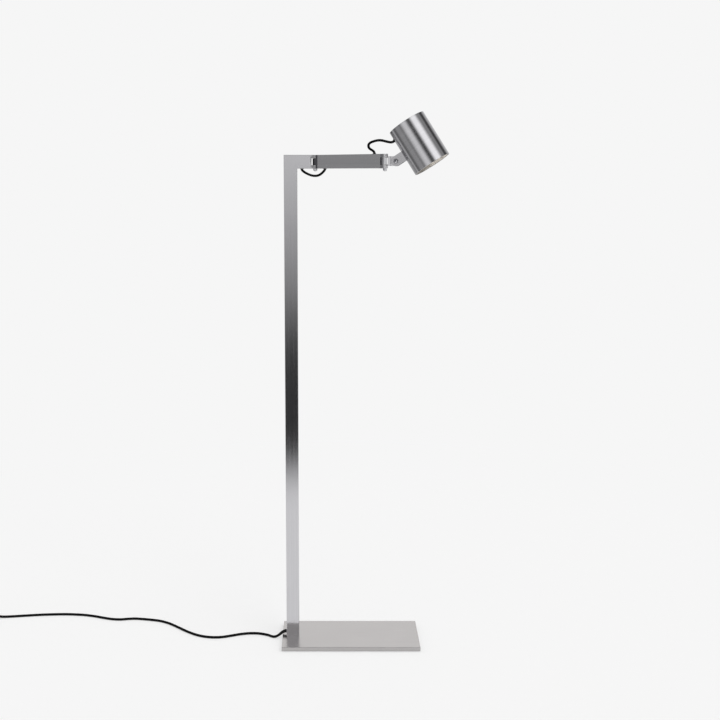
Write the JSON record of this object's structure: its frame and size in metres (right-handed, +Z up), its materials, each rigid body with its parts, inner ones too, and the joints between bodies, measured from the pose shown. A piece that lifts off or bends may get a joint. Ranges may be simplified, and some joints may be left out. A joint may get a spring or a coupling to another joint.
{
  "type": "office floor lamp",
  "caption": "Office floor lamp with a slab base, a bent rectangular-tube post, a swivelling side arm and a round spot head on a swivel and tilt bracket, with its mains cord, switch and plug.",
  "frame": {"origin": "centre of the base's underside, on the floor", "axes": "+Z up along the post; +X along the base's long side, from the post toward the head; -Y toward the picture's viewer"},
  "size_m": [1.2809, 0.3439, 1.2299],
  "materials": {
    "satin_steel": "satin nickel",
    "shade_steel": "satin-bright nickel",
    "screw_steel": "bright zinc",
    "reflector_aluminium": "bright satin",
    "pad_rubber": "matt",
    "black_rubber": "matt",
    "cable_sheath": "soft PVC sheath",
    "washer_plastic": "plain nylon",
    "black_plastic": "fine-textured",
    "white_plastic": "glazed ceramic",
    "brass": "bright",
    "lens_glass": "frosted"
  },
  "bodies": {
    "stand": {"base_pad": "pad_rubber", "base_plate": "satin_steel", "foot_block": "satin_steel", "base_screws": "screw_steel", "post_tube": "satin_steel", "stub_tube": "satin_steel", "stub_clevis": "satin_steel", "stub_screw": "screw_steel", "stub_nut": "screw_steel", "stub_washers": "washer_plastic", "stub_grommet": "black_rubber", "cord_gland": "black_rubber", "cord_relief": "black_rubber", "post_cable": "cable_sheath", "elbow_cable": "cable_sheath", "mains_cord": "cable_sheath", "switch_base": "black_plastic", "switch_cover": "black_plastic", "switch_screws": "screw_steel", "switch_reliefs": "black_rubber", "coil_lead": "cable_sheath", "cord_coil": "cable_sheath", "plug_lead": "cable_sheath", "cord_tie": "black_plastic", "plug_body": "black_plastic", "plug_pins": "brass"},
    "arm": {"arm_tongue": "satin_steel", "arm_tube": "satin_steel", "arm_clevis": "satin_steel", "arm_screw": "screw_steel", "arm_nut": "screw_steel", "arm_washers": "washer_plastic", "arm_grommets": "black_rubber", "arm_cable": "cable_sheath", "head_cable_lower": "cable_sheath"},
    "bracket": {"bracket_bar": "satin_steel"},
    "head": {"head_lug": "satin_steel", "lug_screws": "screw_steel", "tilt_screw": "screw_steel", "tilt_nut": "screw_steel", "shade_tube": "shade_steel", "shade_cap": "shade_steel", "holder_spacers": "satin_steel", "lamp_holder": "white_plastic", "bulb_body": "white_plastic", "bulb_pins": "brass", "bulb_lens": "lens_glass", "front_reflector": "reflector_aluminium", "shade_grommet": "black_rubber", "head_cable_upper": "cable_sheath", "shade_cable": "cable_sheath"},
    "rocker": {"switch_rocker": "black_plastic"}
  },
  "joints": [
    {"name": "arm_swivel", "type": "hinge", "parent": "stand", "child": "arm", "pos_m": [-0.0828, 0, 1.129], "axis": [0, 0, 1], "range_deg": [-56, 144], "deforming": ["elbow_cable"]},
    {"name": "head_swivel", "type": "hinge", "parent": "arm", "child": "bracket", "pos_m": [0.06466, -0.14241, 1.129], "axis": [0, 0, 1], "range_deg": [-125, 65], "deforming": ["head_cable_lower"]},
    {"name": "head_tilt", "type": "hinge", "parent": "bracket", "child": "head", "pos_m": [0.08795, -0.14821, 1.129], "axis": [-0.2419, -0.9703, 0], "range_deg": [-78, 42], "deforming": ["head_cable_upper"]},
    {"name": "switch_rock", "type": "hinge", "parent": "stand", "child": "rocker", "pos_m": [-0.947, 0.116, 0.0114], "axis": [0, 1, 0], "range_deg": [0, 16]}
  ]
}
